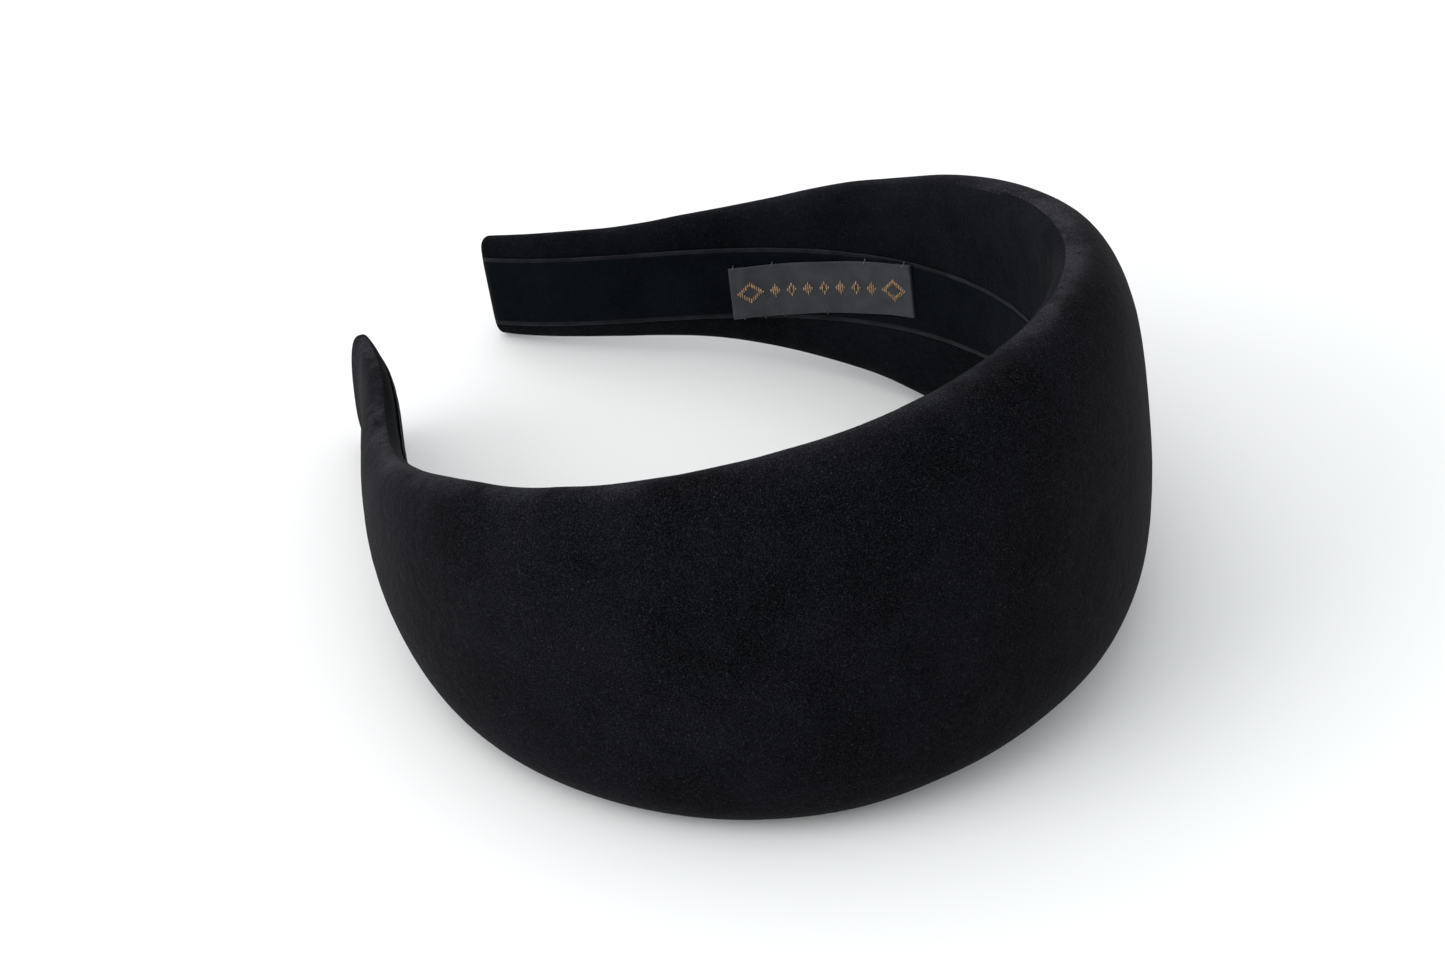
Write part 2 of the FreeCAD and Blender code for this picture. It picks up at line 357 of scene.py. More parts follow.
# --- how the cover lies over the sponge -----------------------------------------------------------
PIN_HEIGHT = 8.5 * MM              # the skin is glued down within this distance of the middle
SWELL_CAP = 1.3 * MM               # most that the simulation may move a point
SINK_CAP = 0.45 * MM               # most that the cover may sink towards the sponge
SIM_FRAMES = 20
PRESSURE = 8.0
GATHER = -0.08                     # spare cloth along the turned-in edges, as a negative shrink
GLUE_HOLD = 0.35                   # how firmly the glue over the core holds the turned-in velvet
CORE_HALF_SHARE = 0.74             # of the band's half width
PIN_FADE = 3.0 * MM                # over which the glue's hold fades out
TIP_HOLD = 6.0 * MM                # the skin is held fast this near a tip


def rim_depth(stations):
    """Depth of the turn between the inner and the outer face at each station."""
    return np.minimum(EDGE_DEPTH, RIM_SHARE * smooth(THICKNESS_KEYS, stations) * MM)


def inner_share(band):
    """1 on the turned-in inner face, 0 on the outer face, for each cover point."""
    rim = rim_depth(band[:, 0])
    return np.clip(1.4 * (1 - band[:, 2] / rim), 0, 1)


def cover_half(stations):
    """Half the band's width at each station."""
    halves = [smooth(WIDTH_KEYS[side], stations) * MM / 2 for side in (-1, 1)]
    return np.where(stations < 0, *halves)


def vertex_group(piece, name, weights):
    group = piece.vertex_groups.new(name=name)
    for index in np.nonzero(weights > 0.001)[0]:
        group.add([int(index)], float(weights[index]), "REPLACE")
    return group.name


def settle(piece, band):
    """Cloth simulation: the skin swells over the sponge and gathers at its glued edges."""
    before = points_of(piece)
    side = inner_share(band)
    height = np.abs(band[:, 1])
    strip = CORE_HALF_SHARE * cover_half(band[:, 0])
    lined = np.clip((PIN_HEIGHT + PIN_FADE - height) / PIN_FADE, 0, 1)
    glued = np.clip((strip + 1 * MM - height) / PIN_FADE, 0, 1)
    pinned = side * np.maximum(lined, GLUE_HOLD * glued)
    at_tip = (1 - np.abs(band[:, 0])) * ARM_LENGTH[1] < TIP_HOLD
    pinned = np.maximum(pinned, at_tip)
    modifier = piece.modifiers.new("Cloth", "CLOTH")
    cloth = modifier.settings
    cloth.quality = 6
    cloth.mass = 0.05
    cloth.tension_stiffness = cloth.compression_stiffness = 4
    cloth.shear_stiffness = 4
    cloth.bending_stiffness = 0.01
    cloth.air_damping = 2
    cloth.use_pressure = True
    cloth.uniform_pressure_force = PRESSURE
    cloth.effector_weights.gravity = 0
    cloth.vertex_group_mass = vertex_group(piece, "glued", pinned)
    cloth.vertex_group_shrink = vertex_group(piece, "gathered", side)
    cloth.shrink_min = 0.0
    cloth.shrink_max = GATHER
    modifier.collision_settings.use_collision = False
    modifier.point_cache.frame_end = SIM_FRAMES
    for step in range(1, SIM_FRAMES + 1):
        bpy.context.scene.frame_set(step)
    graph = bpy.context.evaluated_depsgraph_get()
    mesh = piece.evaluated_get(graph).to_mesh()
    after = np.empty(len(mesh.vertices) * 3)
    mesh.vertices.foreach_get("co", after)
    piece.evaluated_get(graph).to_mesh_clear()
    piece.modifiers.clear()
    piece.vertex_groups.clear()
    bpy.context.scene.frame_set(1)
    moved = after.reshape(-1, 3) - before
    length = np.linalg.norm(moved, axis=1, keepdims=True)
    moved *= SWELL_CAP * np.tanh(length / SWELL_CAP) / np.maximum(length, 1e-9)
    set_points(piece, before + moved)
    return moved


swell = settle(cover, cover_band)


# --- dimples, waviness and thickness of the cover -------------------------------------------------
DIMPLE_COUNT = 15                  # along each rim
DIMPLE_DEPTH = (0.25 * MM, 0.7 * MM)
DIMPLE_LENGTH = (2.5 * MM, 6.0 * MM)
WAVE_HEIGHT = 0.45 * MM            # slow unevenness of the hand-covered sponge
CREASE_HEIGHT = 0.22 * MM          # gathers in the turned-in velvet


def dimples(band):
    """Depth of the small hollows along both rims."""
    total = np.zeros(len(band))
    length = arc(band[:, 0])
    rim = rim_depth(band[:, 0])
    for side in (-1, 1):
        for k in range(DIMPLE_COUNT):
            share = (k + 0.5 + random.uniform(-0.4, 0.4)) / DIMPLE_COUNT
            centre = (2 * share - 1) * 0.86 * ARM_LENGTH[1]
            depth = random.uniform(*DIMPLE_DEPTH)
            reach = random.uniform(*DIMPLE_LENGTH)
            along = (length - centre) / reach
            across = (band[:, 2] - rim * random.uniform(0.8, 1.9)) / (0.5 * reach)
            total += depth * np.exp(-along ** 2 - across ** 2) * (band[:, 1] * side > 0)
    return total


def waviness(band):
    """Smooth noise over the cover: broad on the sponge, in creases on the turned-in velvet."""
    inner = inner_share(band)
    lengths = arc(band[:, 0])
    result = np.empty(len(band))
    for index, (length, point) in enumerate(zip(lengths, band)):
        height, depth = point[1], point[2]
        broad = noise.noise(Vector((length * 28, height * 34, depth * 60)))
        middle = noise.noise(Vector((length * 75 + 9, height * 80, depth * 120)))
        crease = noise.noise(Vector((length * 330, height * 45 + 5, 2.0)))
        bend = np.clip(1.15 - abs(point[0]), 0.2, 1.0)
        result[index] = ((1 - inner[index]) * WAVE_HEIGHT * (0.7 * broad + 0.3 * middle)
                         + inner[index] * CREASE_HEIGHT * bend * crease)
    return result


def vertex_normals(piece):
    normals = np.empty(len(piece.data.vertices) * 3)
    piece.data.vertex_normals.foreach_get("vector", normals)
    return normals.reshape(-1, 3)


RIM_HIGHLIGHT_STATIONS = (-1.0, -0.85, -0.6, 0.0, 0.12, 0.32, 0.5)
RIM_HIGHLIGHT_SHARES = (1.5, 1.3, 0.55, 0.55, 1.2, 1.45, 0.1)    # strength of the highlight painted along the rims at each station


def rim_highlight_share(band):
    """1 along the crest of the two rolled rims, where a highlight is painted into the velvet's colour, and
    0 away from them.
    """
    rim = rim_depth(band[:, 0])
    highlight_strength = np.interp(band[:, 0], RIM_HIGHLIGHT_STATIONS, RIM_HIGHLIGHT_SHARES)
    return highlight_strength * np.exp(-((band[:, 2] - 1.1 * rim) / (0.8 * rim)) ** 2)


def finish_cover(piece, band, swell):
    """Dimples and unevenness, then one subdivision and the cloth's thickness."""
    covered = np.clip((PIN_HEIGHT - np.abs(band[:, 1])) / (2 * MM), 0, 1) * inner_share(band)
    offset = (waviness(band) - dimples(band)) * (1 - covered)
    normals = vertex_normals(piece)
    sunk = (swell * normals).sum(1) + offset
    offset += np.maximum(0, -SINK_CAP - sunk)
    set_points(piece, points_of(piece) + normals * offset[:, None])
    store(piece, "band", np.stack([arc(band[:, 0]), band[:, 1], band[:, 2]], 1))
    # the rim attribute carries the strength of the highlight painted along the rims
    store(piece, "rim", np.repeat(rim_highlight_share(band)[:, None], 3, axis=1))
    subdivide = piece.modifiers.new("Subdivide", "SUBSURF")
    subdivide.levels = subdivide.render_levels = 1
    thicken = piece.modifiers.new("Thickness", "SOLIDIFY")
    thicken.thickness = VELVET
    thicken.offset = -1
    apply_modifiers(piece)


finish_cover(cover, cover_band, swell)


# --- sheets that lie on the inner face ------------------------------------------------------------
def closed_slab(name, lengths, heights, top, bottom):
    """Closed sheet: top and bottom(length, height) give the depths of its two faces as grids."""
    along, across = np.meshgrid(lengths, heights, indexing="ij")
    band = np.vstack([np.stack([along, across, face(along, across)], -1).reshape(-1, 3)
                      for face in (top, bottom)])
    faces = slab_faces(len(lengths), len(heights))
    piece = add_mesh(name, rest(place(station_of(band[:, 0]), band[:, 1], band[:, 2])), faces)
    store(piece, "band", band)
    outward_faces(piece)
    return piece


RIBBON_STEP = 0.8 * MM
PILE_HALF = RIBBON_WIDTH / 2 - 0.95 * MM           # the satin selvedge is what is left
SELVEDGE = 0.32 * MM                               # thickness of the satin selvedge
WRINKLE = 0.2 * MM


def ribbon_wrinkle(length, height):
    """Creases across the ribbon where the band bends most."""
    share = np.abs(station_of(length))
    amount = np.exp(-((share - 0.40) / 0.13) ** 2) + 0.35 * np.exp(-(share / 0.25) ** 2)
    result = np.empty(length.shape)
    for index in np.ndindex(length.shape):
        x, z = length[index] + 0.35 * height[index], height[index]
        ridge = noise.noise(Vector((x * 420, z * 40, 1.0)))
        broad = noise.noise(Vector((x * 140, z * 30, 4.0)))
        result[index] = 0.65 * ridge + 0.6 * broad
    return WRINKLE * amount * result + 0.05 * MM * result


def ribbon_lengths():
    first, last = -(ARM_LENGTH[-1] - RIBBON_END), ARM_LENGTH[1] - RIBBON_END
    return np.linspace(first, last, int((last - first) / RIBBON_STEP))


def rounded(distance, radius):
    """Drop of a rounded edge at the given distance from it."""
    near = np.clip(radius - distance, 0, radius)
    return radius - np.sqrt(radius ** 2 - near ** 2)


def make_ribbon():
    heights = PILE_HALF * np.array([-1, -0.995, -0.975, -0.93, *np.linspace(-0.86, 0.86, 13),
                                    0.93, 0.975, 0.995, 1])
    top = RIBBON - 0.1 * MM

    def face(length, height):
        drop = rounded(PILE_HALF - np.abs(height), 0.3 * MM)
        ends = np.minimum(ARM_LENGTH[-1] - RIBBON_END + length, ARM_LENGTH[1] - RIBBON_END - length)
        drop = np.maximum(drop, rounded(ends, 0.3 * MM))
        return -(top - drop) + ribbon_wrinkle(length, height)

    def back(length, height):
        return -0.05 * MM + 0 * length

    return closed_slab("lining_ribbon", ribbon_lengths(), heights, face, back)


def make_selvedge(side, name):
    inner, outer = side * (PILE_HALF - 0.2 * MM), side * RIBBON_WIDTH / 2
    heights = inner + (outer - inner) * np.array([0, 0.3, 0.6, 0.85, 0.96, 1])

    def face(length, height):
        drop = rounded(RIBBON_WIDTH / 2 - np.abs(height), 0.16 * MM)
        ripple = np.array([[noise.noise(Vector((x * 260, side * 3.0, 0.5))) for x in row]
                           for row in length])
        lift = np.clip((np.abs(height) - PILE_HALF) / (1 * MM), 0, 1)
        return -(SELVEDGE - drop) + ribbon_wrinkle(length, height) * 0.7 - 0.09 * MM * lift * (1 + ripple)

    def back(length, height):
        return face(length, height) + 0.2 * MM - rounded(RIBBON_WIDTH / 2 - np.abs(height), 0.16 * MM)

    return closed_slab(name, ribbon_lengths(), heights, face, back)


ribbon = make_ribbon()
selvedges = [make_selvedge(1, "ribbon_selvedge_upper"), make_selvedge(-1, "ribbon_selvedge_lower")]


# --- label, its motif and its stitches ------------------------------------------------------------
LABEL_ENDS = [s * ARM_LENGTH[1] for s in LABEL_STATIONS]
LABEL_FACE = RIBBON + 0.62 * MM                    # depth of the label's face, towards the head
LABEL_FOLD = 3.2 * MM
LABEL_STEP = 0.14 * MM                             # drop behind each turned end
LABEL_SAG = 0.08 * MM                              # gentle waves along the label
END_ROUND = 0.3 * MM                               # radius of the label's and the ribbon's ends
LABEL_EDGE = 0.12 * MM                             # radius of the label's long edges


def label_share(length):
    return (length - LABEL_ENDS[0]) / (LABEL_ENDS[1] - LABEL_ENDS[0])


def label_centre(length):
    share = label_share(length)
    return LABEL_HEIGHTS[0] * (1 - share) + LABEL_HEIGHTS[1] * share


def label_face(length, height):
    """Depth of the label's visible face; height is measured from its centre line."""
    ends = np.minimum(length - LABEL_ENDS[0], LABEL_ENDS[1] - length)
    drop = rounded(ends, END_ROUND) + rounded(LABEL_WIDTH / 2 - np.abs(height), LABEL_EDGE)
    fold = LABEL_STEP * np.clip((ends - LABEL_FOLD) / (1.2 * MM), 0, 1)
    sag = LABEL_SAG * np.cos(label_share(length) * 5 * math.pi + height * 260)
    return -(LABEL_FACE - drop - fold - sag)


def make_label():
    ends = LABEL_ENDS
    lengths = np.concatenate([ends[0] + END_ROUND * np.array([0, 0.08, 0.3, 0.6]),
                              np.linspace(ends[0] + END_ROUND, ends[1] - END_ROUND, 70),
                              ends[1] - END_ROUND * np.array([0.6, 0.3, 0.08, 0])])
    half = LABEL_WIDTH / 2
    heights = np.array([-1, -0.99, *np.linspace(-0.97, 0.97, 23), 0.99, 1]) * half
    along, across = np.meshgrid(lengths, heights, indexing="ij")

    def shifted(depth):
        return np.stack([along, across + label_centre(along), depth], -1).reshape(-1, 3)

    near_end = np.minimum(along - ends[0], ends[1] - along)
    thickness = np.where(near_end < LABEL_FOLD, 2.1, 1.0) * LABEL_LAYER
    front = label_face(along, across)
    band = np.vstack([shifted(front), shifted(np.minimum(front + thickness, -RIBBON + 0.1 * MM))])
    faces = slab_faces(len(lengths), len(heights))
    piece = add_mesh("woven_label", rest(place(station_of(band[:, 0]), band[:, 1], band[:, 2])), faces)
    local = band.copy()
    local[:, 1] -= label_centre(band[:, 0])
    store(piece, "band", local)
    outward_faces(piece)
    return piece


def on_label(length, height, lift):
    """Points at rest that stand off the label's face; height is from its centre line."""
    length, height = np.asarray(length, float), np.asarray(height, float)
    depth = label_face(length, height) - lift
    return rest(place(station_of(length), height + label_centre(length), depth))


def thread(points, radius, sides=6):
    """(points, faces) of a closed tube along a short line of points, tapered at its ends."""
    points = np.asarray(points)
    made, faces = [], []
    tangents = np.gradient(points, axis=0)
    for index, (point, tangent) in enumerate(zip(points, tangents)):
        tangent = Vector(tangent).normalized()
        side = tangent.orthogonal().normalized()
        other = tangent.cross(side)
        thin = 0.55 if index in (0, len(points) - 1) else 1.0
        for k in range(sides):
            angle = 2 * math.pi * k / sides
            made.append(Vector(point) + (side * math.cos(angle) + other * math.sin(angle)) * radius * thin)
    for index in range(len(points) - 1):
        for k in range(sides):
            a, b = index * sides + k, index * sides + (k + 1) % sides
            faces.append((a, b, b + sides, a + sides))
    last = (len(points) - 1) * sides
    faces.append(tuple(reversed(range(sides))))
    faces.append(tuple(range(last, last + sides)))
    return made, faces


def add_threads(name, lines, radius):
    points, faces = [], []
    for line in lines:
        made, quads = thread(line, radius)
        faces += [tuple(len(points) + k for k in quad) for quad in quads]
        points += made
    piece = add_mesh(name, points, faces)
    outward_faces(piece)
    return piece


MOTIF_PITCH = 0.42 * MM                            # between two woven floats
MOTIF_RADIUS = 0.17 * MM
LOZENGE_HALF = (2.6 * MM, 2.5 * MM)                # half length, half height of the end lozenges
SMALL_LOZENGE = (1.25 * MM, 1.5 * MM)
LOZENGES = 7                                       # small ones between the end lozenges
MOTIF_HALF = 15.2 * MM                             # from the middle to an end lozenge's middle
LOZENGE_GAP = 2.4 * MM                             # from an end lozenge to the next one's middle


def lozenge_floats(centre, half, hollow):
    """Short woven floats across a lozenge, leaving a hollow one in the middle."""
    lines = []
    count = int(half[0] / MOTIF_PITCH)
    for k in range(-count, count + 1):
        length = centre + k * MOTIF_PITCH
        reach = half[1] * (1 - abs(k) / (count + 0.6))
        empty = max(0.0, hollow * half[1] * (1 - abs(k) / (count * hollow + 0.6))) if hollow else 0
        spans = [(-reach, reach)] if empty < 0.25 * MM else [(-reach, -empty), (empty, reach)]
        for low, high in spans:
            heights = np.linspace(low, high, 5)
            lift = np.array([0.0, 0.06, 0.09, 0.06, 0.0]) * MM
            lines.append(on_label(np.full(5, length), heights, lift))
    return lines


def make_motif():
    """A plain woven border motif: two hollow lozenges and a row of small ones between them."""
    middle = sum(LABEL_ENDS) / 2
    lines = []
    for side in (-1, 1):
        lines += lozenge_floats(middle + side * MOTIF_HALF, LOZENGE_HALF, 0.55)
    run = MOTIF_HALF - LOZENGE_HALF[0] - LOZENGE_GAP
    for k in range(LOZENGES):
        centre = middle + run * (2 * k / (LOZENGES - 1) - 1)
        lines += lozenge_floats(centre, SMALL_LOZENGE, 0.45 * (k % 2))
    return add_threads("label_motif", lines, MOTIF_RADIUS)


STITCH_POINTS = 7
STITCH_RADIUS = 0.15 * MM
STITCH_LIFT = 0.06 * MM                            # of the thread's axis off the label
STITCH_DIP = 0.22 * MM                             # of its two ends into the cloth


def make_stitches():
    """Small bar tacks that hold the label's long edges to the ribbon."""
    lines = []
    spots = np.linspace(-1, 1, STITCH_POINTS)
    for side, stations in STITCH_STATIONS.items():
        for station in stations:
            length = station * ARM_LENGTH[1]
            slant = random.uniform(-0.25, 0.25) * MM
            reach = random.uniform(0.45, 0.7) * MM
            heights = side * (LABEL_WIDTH / 2 + spots * reach)
            inside = np.abs(heights) < LABEL_WIDTH / 2
            on_face = label_face(np.full(STITCH_POINTS, length), heights) - STITCH_LIFT
            depth = np.where(inside, on_face, -RIBBON - 2 * STITCH_LIFT)
            depth[[0, -1]] += STITCH_DIP
            lengths = length + slant * spots
            lines.append(rest(place(station_of(lengths), heights + label_centre(lengths), depth)))
    return add_threads("label_stitches", lines, STITCH_RADIUS)


label = make_label()
motif = make_motif()
stitches = make_stitches()


# --- materials ------------------------------------------------------------------------------------
def new_material(name, **sockets):
    """A material whose uniform values sit on the shader's own sockets."""
    material = bpy.data.materials.new(name)
    material.use_nodes = True
    shader = material.node_tree.nodes["Principled BSDF"]
    for socket, value in sockets.items():
        shader.inputs[socket.replace("_", " ")].default_value = value
    return material, material.node_tree, shader


def noise_node(tree, vector, scale, detail=3.0, roughness=0.55):
    made = tree.nodes.new("ShaderNodeTexNoise")
    made.inputs["Scale"].default_value = scale
    made.inputs["Detail"].default_value = detail
    made.inputs["Roughness"].default_value = roughness
    tree.links.new(vector, made.inputs["Vector"])
    return made.outputs["Fac"]


def ramp(tree, value, stops):
    """Colour ramp from (position, colour) stops."""
    made = tree.nodes.new("ShaderNodeValToRGB")
    elements = made.color_ramp.elements
    while len(elements) < len(stops):
        elements.new(0.5)
    for element, (position, colour) in zip(elements, stops):
        element.position = position
        element.color = (*colour, 1)
    tree.links.new(value, made.inputs["Fac"])
    return made.outputs["Color"]


def mix_colour(tree, factor, first, second, blend="MIX"):
    made = tree.nodes.new("ShaderNodeMix")
    made.data_type = "RGBA"
    made.blend_type = blend
    sockets = {s.identifier: s for s in made.inputs}
    for key, value in (("Factor_Float", factor), ("A_Color", first), ("B_Color", second)):
        if isinstance(value, (int, float)):
            sockets[key].default_value = value
        elif isinstance(value, tuple):
            sockets[key].default_value = (*value, 1)
        else:
            tree.links.new(value, sockets[key])
    return next(s for s in made.outputs if s.identifier == "Result_Color")


def maths(tree, operation, first, second=0.0, clamp=False):
    """A Math node's result; MULTIPLY_ADD adds the node's own third value, 0.5."""
    made = tree.nodes.new("ShaderNodeMath")
    made.operation = operation
    made.use_clamp = clamp
    for socket, value in zip(made.inputs, (first, second)):
        if isinstance(value, (int, float)):
            socket.default_value = value
        else:
            tree.links.new(value, socket)
    return made.outputs[0]


def bump(tree, shader, height, strength, distance):
    made = tree.nodes.new("ShaderNodeBump")
    made.inputs["Strength"].default_value = strength
    made.inputs["Distance"].default_value = distance
    tree.links.new(height, made.inputs["Height"])
    tree.links.new(made.outputs["Normal"], shader.inputs["Normal"])


def object_place(tree):
    return tree.nodes.new("ShaderNodeTexCoord").outputs["Object"]


def band_place(tree):
    """(length, height, depth) of the point, in metres, stored on the mesh."""
    made = tree.nodes.new("ShaderNodeAttribute")
    made.attribute_name = "band"
    parts = tree.nodes.new("ShaderNodeSeparateXYZ")
    tree.links.new(made.outputs["Vector"], parts.inputs["Vector"])
    return parts.outputs["X"], parts.outputs["Y"], parts.outputs["Z"]


# strength of the painted rim highlight, stored on the cover
def rim_highlight_place(tree):
    made = tree.nodes.new("ShaderNodeAttribute")
    made.attribute_name = "rim"
    return made.outputs["Fac"]


def velvet(name, dark, light, sheen, grain, glint, rim_highlight=None):
    """Short black pile: patches of pile lying different ways, fine grain, painted glints, and sheen seen
    edge on.

    The last argument is the highlight colour painted along the rolled rims, where the lamps light them.
    """
    material, tree, shader = new_material(
        name, Roughness=0.8, Specular_IOR_Level=0.02, Sheen_Weight=sheen, Sheen_Roughness=0.33,
        Sheen_Tint=(0.93, 0.90, 1.0, 1))
    at = object_place(tree)
    patches = noise_node(tree, at, 62, 4, 0.6)
    clumps = noise_node(tree, at, 520, 3, 0.6)
    fibre = noise_node(tree, at, 3600, 2, 0.7)
    glint_spots = noise_node(tree, at, 2700, 1, 0.5)
    pile = maths(tree, "ADD", maths(tree, "MULTIPLY", patches, 0.75), maths(tree, "MULTIPLY", clumps, 0.25))
    colour = ramp(tree, pile, [(0.36, dark), (0.66, light)])
    fine = ramp(tree, fibre, [(0.45, (0, 0, 0)), (0.72, (grain, grain, grain * 1.1))])
    colour = mix_colour(tree, 1.0, colour, fine, "ADD")
    # painted highlight along the rolled rims: the highlight colour, broken up by noise and fibre grain,
    # goes into the base colour where the rim attribute is strong
    if rim_highlight:
        highlight_noise = noise_node(tree, at, 210, 3, 0.6)
        halves = [maths(tree, "MULTIPLY", part, 0.5) for part in (patches, highlight_noise)]
        tone_factor = maths(tree, "ADD", *halves)
        highlight_breakup = ramp(tree, tone_factor, [(0.40, (0.15,) * 3), (0.62, (1.25,) * 3)])
        highlight_mask = maths(tree, "MULTIPLY", rim_highlight_place(tree), highlight_breakup)
        highlight_grain = ramp(tree, fibre, [(0.42, (0.45,) * 3), (0.66, (1.6,) * 3)])
        highlight_colour = mix_colour(tree, 1.0, highlight_grain, rim_highlight, "MULTIPLY")
        colour = mix_colour(tree, highlight_mask, colour, highlight_colour, "ADD")
    # painted glints: sparse light specks in the base colour, standing in for fibres that catch the light
    painted_glints = ramp(tree, glint_spots, [(0.66, (0, 0, 0)), (0.76, (glint, glint, glint * 1.15))])
    tree.links.new(mix_colour(tree, 1.0, colour, painted_glints, "ADD"), shader.inputs["Base Color"])
    height = maths(tree, "ADD", maths(tree, "MULTIPLY", fibre, 0.5), maths(tree, "MULTIPLY", clumps, 0.9))
    bump(tree, shader, height, 0.6, 0.0004)
    return material


RIB_PITCH = 0.36 * MM
WEFT_PITCH = 0.30 * MM
WARP_PITCH = 0.34 * MM


def satin(name):
    """Woven satin selvedge: fine ribs across it, bluish grey."""
    material, tree, shader = new_material(
        name, Roughness=0.45, Specular_IOR_Level=0.12, Sheen_Weight=0.03, Sheen_Roughness=0.4)
    length, _, _ = band_place(tree)
    ribs = maths(tree, "SINE", maths(tree, "MULTIPLY", length, 2 * math.pi / RIB_PITCH))
    tone = noise_node(tree, object_place(tree), 260, 4)
    colour = ramp(tree, tone, [(0.36, (0.0012, 0.0014, 0.0030)), (0.64, (0.0080, 0.0083, 0.0140))])
    # the colour is darker towards the crown
    tone_factor = maths(tree, "MULTIPLY", maths(tree, "ABSOLUTE", length), 9.0, True)
    crown_dimming = ramp(tree, tone_factor, [(0.15, (0.45,) * 3), (0.9, (1.0,) * 3)])
    tree.links.new(mix_colour(tree, 1.0, colour, crown_dimming, "MULTIPLY"), shader.inputs["Base Color"])
    bump(tree, shader, ribs, 0.35, 0.00006)
    return material


def label_weave(name):
    """Dense damask ground of the label, ribbed both ways."""
    material, tree, shader = new_material(
        name, Roughness=0.6, Specular_IOR_Level=0.15, Sheen_Weight=0.05, Sheen_Roughness=0.5)
    length, height, _ = band_place(tree)
    weft = maths(tree, "SINE", maths(tree, "MULTIPLY", length, 2 * math.pi / WEFT_PITCH))
    warp = maths(tree, "SINE", maths(tree, "MULTIPLY", height, 2 * math.pi / WARP_PITCH))
    cloth = maths(tree, "MULTIPLY", weft, warp)
    tone = noise_node(tree, object_place(tree), 300, 4)
    base = ramp(tree, tone, [(0.32, (0.006, 0.0065, 0.008)), (0.68, (0.030, 0.031, 0.035))])
    woven = mix_colour(tree, maths(tree, "MULTIPLY_ADD", cloth, 0.3, True), base, (0.042, 0.044, 0.050))
    tree.links.new(woven, shader.inputs["Base Color"])
    bump(tree, shader, cloth, 0.4, 0.00008)
    return material


def yarn(name, dark, light, roughness=0.5):
    """Twisted thread."""
    material, tree, shader = new_material(name, Roughness=roughness, Specular_IOR_Level=0.3)
    tone = noise_node(tree, object_place(tree), 1800, 2)
    tree.links.new(ramp(tree, tone, [(0.35, dark), (0.65, light)]), shader.inputs["Base Color"])
    bump(tree, shader, tone, 0.4, 0.0001)
    return material


def sponge(name):
    """Open-cell foam with pores."""
    material, tree, shader = new_material(name, Roughness=0.95, Specular_IOR_Level=0.2)
    cells = tree.nodes.new("ShaderNodeTexVoronoi")
    cells.inputs["Scale"].default_value = 1300
    tree.links.new(object_place(tree), cells.inputs["Vector"])
    colour = ramp(tree, cells.outputs["Distance"], [(0.1, (0.45, 0.43, 0.36)), (0.6, (0.78, 0.75, 0.66))])
    tree.links.new(colour, shader.inputs["Base Color"])
    bump(tree, shader, cells.outputs["Distance"], 0.6, 0.0005)
    return material


def plastic(name):
    """Moulded strip with a faintly grained face."""
    material, tree, shader = new_material(name, Roughness=0.45)
    grain = noise_node(tree, object_place(tree), 900, 3)
    tree.links.new(ramp(tree, grain, [(0.3, (0.012, 0.012, 0.013)), (0.7, (0.028, 0.028, 0.03))]),
                   shader.inputs["Base Color"])
    bump(tree, shader, grain, 0.15, 0.0001)
    return material


def adhesive(name):
    """Amber film with trapped bubbles."""
    material, tree, shader = new_material(name, Roughness=0.25)
    tone = noise_node(tree, object_place(tree), 500, 4)
    tree.links.new(ramp(tree, tone, [(0.35, (0.55, 0.48, 0.30)), (0.65, (0.80, 0.74, 0.55))]),
                   shader.inputs["Base Color"])
    bump(tree, shader, tone, 0.2, 0.0002)
    return material


TURNED_IN_LIMIT = 0.62             # of the rim's depth


def turned_in_faces(piece):
    """1 for each of the cover's faces that lies on its inner side, 0 for the others."""
    polygons = piece.data.polygons
    first = np.empty(len(polygons), np.int32)
    polygons.foreach_get("loop_start", first)
    corners = np.empty(len(piece.data.loops), np.int32)
    piece.data.loops.foreach_get("vertex_index", corners)
    band = np.empty(3 * len(piece.data.vertices))
    piece.data.attributes["band"].data.foreach_get("vector", band)
    length, _, depth = band.reshape(-1, 3)[corners[first]].T
    return (depth < TURNED_IN_LIMIT * rim_depth(station_of(length))).astype(np.int32)


def dress(piece, material):
    piece.data.materials.clear()
    piece.data.materials.append(material)


# the cover's last colour is the highlight painted along its rims
dress(cover, velvet("cover_velvet", (0.0003, 0.0004, 0.0010), (0.0026, 0.0028, 0.0044), 0.036, 0.010,
                    0.015, (0.019, 0.0187, 0.0225)))
# the velvet of the inner side is a copy with less sheen: painted shade, as little light reaches inside the
# band
cover.data.materials.append(velvet("turned_in_velvet", (0.0010, 0.0014, 0.0022),
                                   (0.0040, 0.0050, 0.0064), 0.023, 0.005, 0.010))
cover.data.polygons.foreach_set("material_index", turned_in_faces(cover))
dress(ribbon, velvet("ribbon_velvet", (0.0012, 0.0020, 0.0028), (0.0036, 0.0050, 0.0066),
                     0.03, 0.002, 0.006))
for selvedge in selvedges:
    dress(selvedge, satin(selvedge.name + "_satin"))
dress(label, label_weave("label_ground"))
dress(motif, yarn("motif_yarn", (0.16, 0.095, 0.055), (0.40, 0.26, 0.16)))
dress(stitches, yarn("stitch_thread", (0.02, 0.022, 0.03), (0.09, 0.095, 0.12), 0.35))

INNER_MATERIALS = {
    "core_band": plastic("core_plastic"),
    "base_foam": sponge("base_sponge"),
    "crown_pad": sponge("crown_sponge"),
    "pad_tape": adhesive("tape_film"),
    "turn_in_glue": adhesive("glue_film"),
    "lining_glue": adhesive("lining_film"),
}
for name, material in INNER_MATERIALS.items():
    dress(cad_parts[name], material)


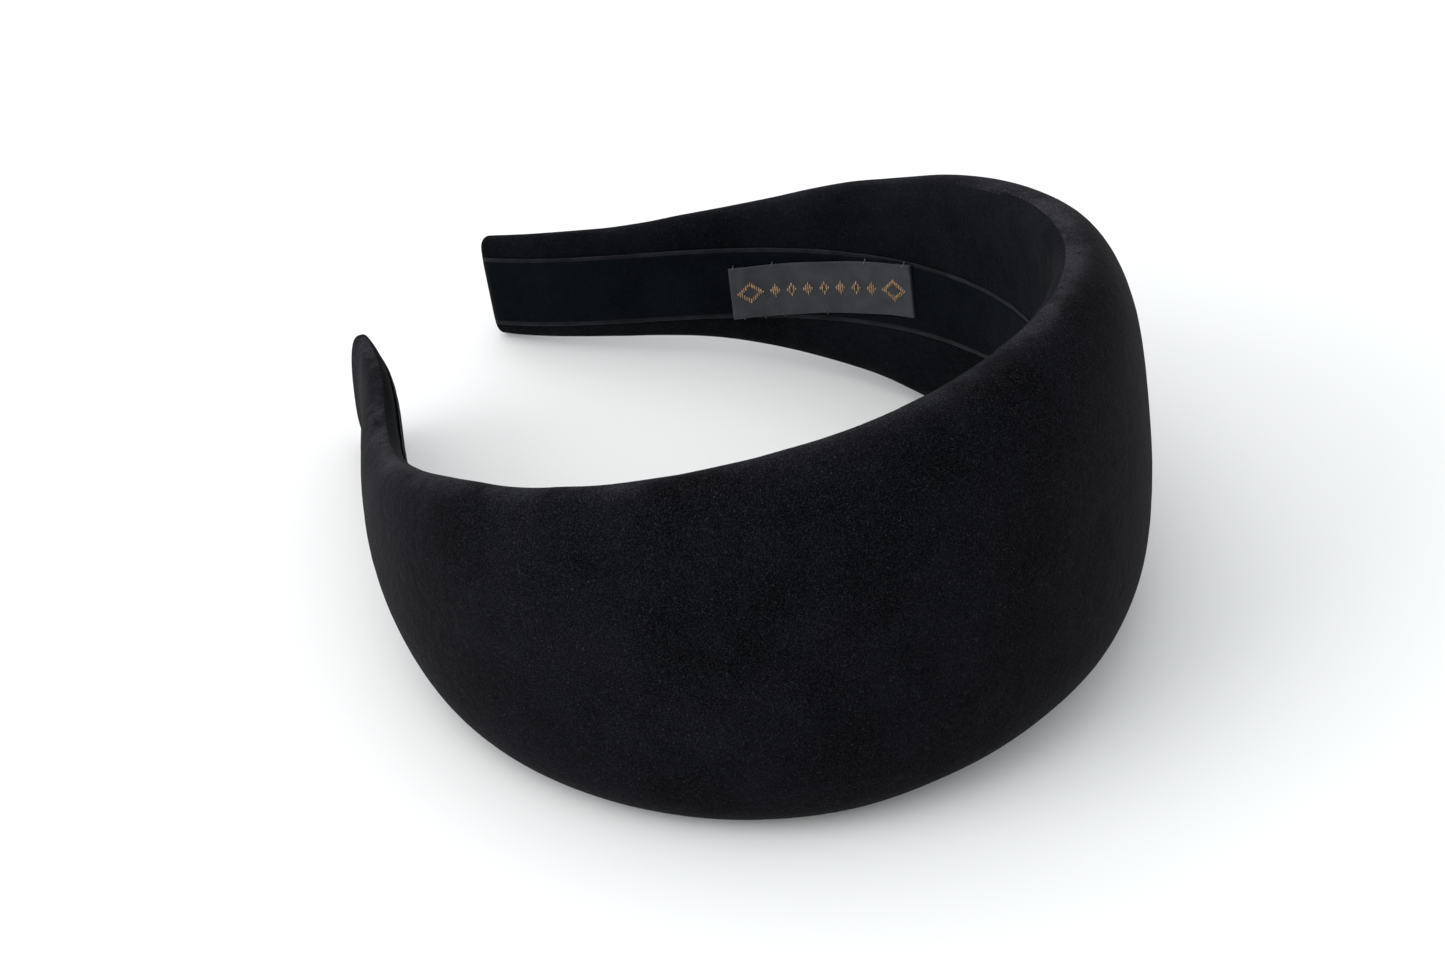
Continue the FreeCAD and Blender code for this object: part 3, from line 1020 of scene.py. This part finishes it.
for piece in (cover, ribbon, *selvedges, label, motif, stitches):
    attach(piece, "root")
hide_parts("velvet_cover")
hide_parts("lining_ribbon")
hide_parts("woven_label")
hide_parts("label_stitches")


# --- floor, light and camera ----------------------------------------------------------------------
def make_floor():
    half = 3.0
    points = [(-half, -half, 0), (half, -half, 0), (half, half, 0), (-half, half, 0)]
    floor = add_mesh("floor", points, [(0, 1, 2, 3)])
    material, tree, shader = new_material("floor_paper", Roughness=0.9, Specular_IOR_Level=0.1)
    tone = noise_node(tree, object_place(tree), 3, 2)
    tree.links.new(ramp(tree, tone, [(0.3, (0.83, 0.83, 0.83)), (0.7, (0.85, 0.85, 0.85))]),
                   shader.inputs["Base Color"])
    dress(floor, material)


def area_light(name, location, target, size, energy, colour):
    data = bpy.data.lights.new(name, "AREA")
    data.shape = "DISK"
    data.size = size
    data.energy = energy
    data.color = colour
    lamp = bpy.data.objects.new(name, data)
    lamp.location = location
    lamp.rotation_euler = (Vector(target) - Vector(location)).to_track_quat("-Z", "Y").to_euler()
    bpy.context.scene.collection.objects.link(lamp)


WORLD_STRENGTH = 1.12


def make_light():
    """A soft sky, dimmer towards the right, with a broad lamp above and one from the left."""
    world = bpy.data.worlds.new("studio")
    world.use_nodes = True
    background = world.node_tree.nodes["Background"]
    tree = world.node_tree
    towards = tree.nodes.new("ShaderNodeSeparateXYZ")
    tree.links.new(tree.nodes.new("ShaderNodeTexCoord").outputs["Generated"], towards.inputs["Vector"])
    across = maths(tree, "MULTIPLY_ADD", towards.outputs["X"], 0.5)
    sky = ramp(tree, across, [(0.15, (0.97, 1.0, 1.0)), (0.85, (0.62, 0.64, 0.66))])
    tree.links.new(sky, background.inputs["Color"])
    background.inputs["Strength"].default_value = WORLD_STRENGTH
    bpy.context.scene.world = world
    bpy.context.scene.view_settings.view_transform = "Standard"
    area_light("top", (-0.5, 1.0, 2.6), (0, 0, 0.04), 3.6, 34, (1.0, 0.99, 0.97))
    area_light("left", (-2.6, 1.1, 1.3), (0, 0, 0.04), 2.4, 48, (0.97, 0.98, 1.0))


def make_camera():
    """The camera keeps its place relative to the band, which the rest transform has turned."""
    turn_x = Matrix.Rotation(VIEW_ANGLES[0], 3, "X")
    turn_y = Matrix.Rotation(VIEW_ANGLES[1], 3, "Y")
    turn_z = Matrix.Rotation(VIEW_ANGLES[2], 3, "Z")
    right, up, back = turn_x @ turn_y @ turn_z
    location = VIEW_CENTRE + back * VIEW_DISTANCE - right * VIEW_SHIFT[0] - up * VIEW_SHIFT[1]
    level = Matrix.Rotation(REST_TILT, 3, "X")
    data = bpy.data.cameras.new("camera")
    data.lens = VIEW_LENS
    data.sensor_width = 36
    data.clip_start, data.clip_end = 0.01, 20
    camera = bpy.data.objects.new("camera", data)
    axes = level @ Matrix((right, up, back)).transposed()
    camera.matrix_world = Matrix.Translation(level @ location + Vector(SHIFT)) @ axes.to_4x4()
    bpy.context.scene.collection.objects.link(camera)
    bpy.context.scene.camera = camera


make_floor()
make_light()
make_camera()
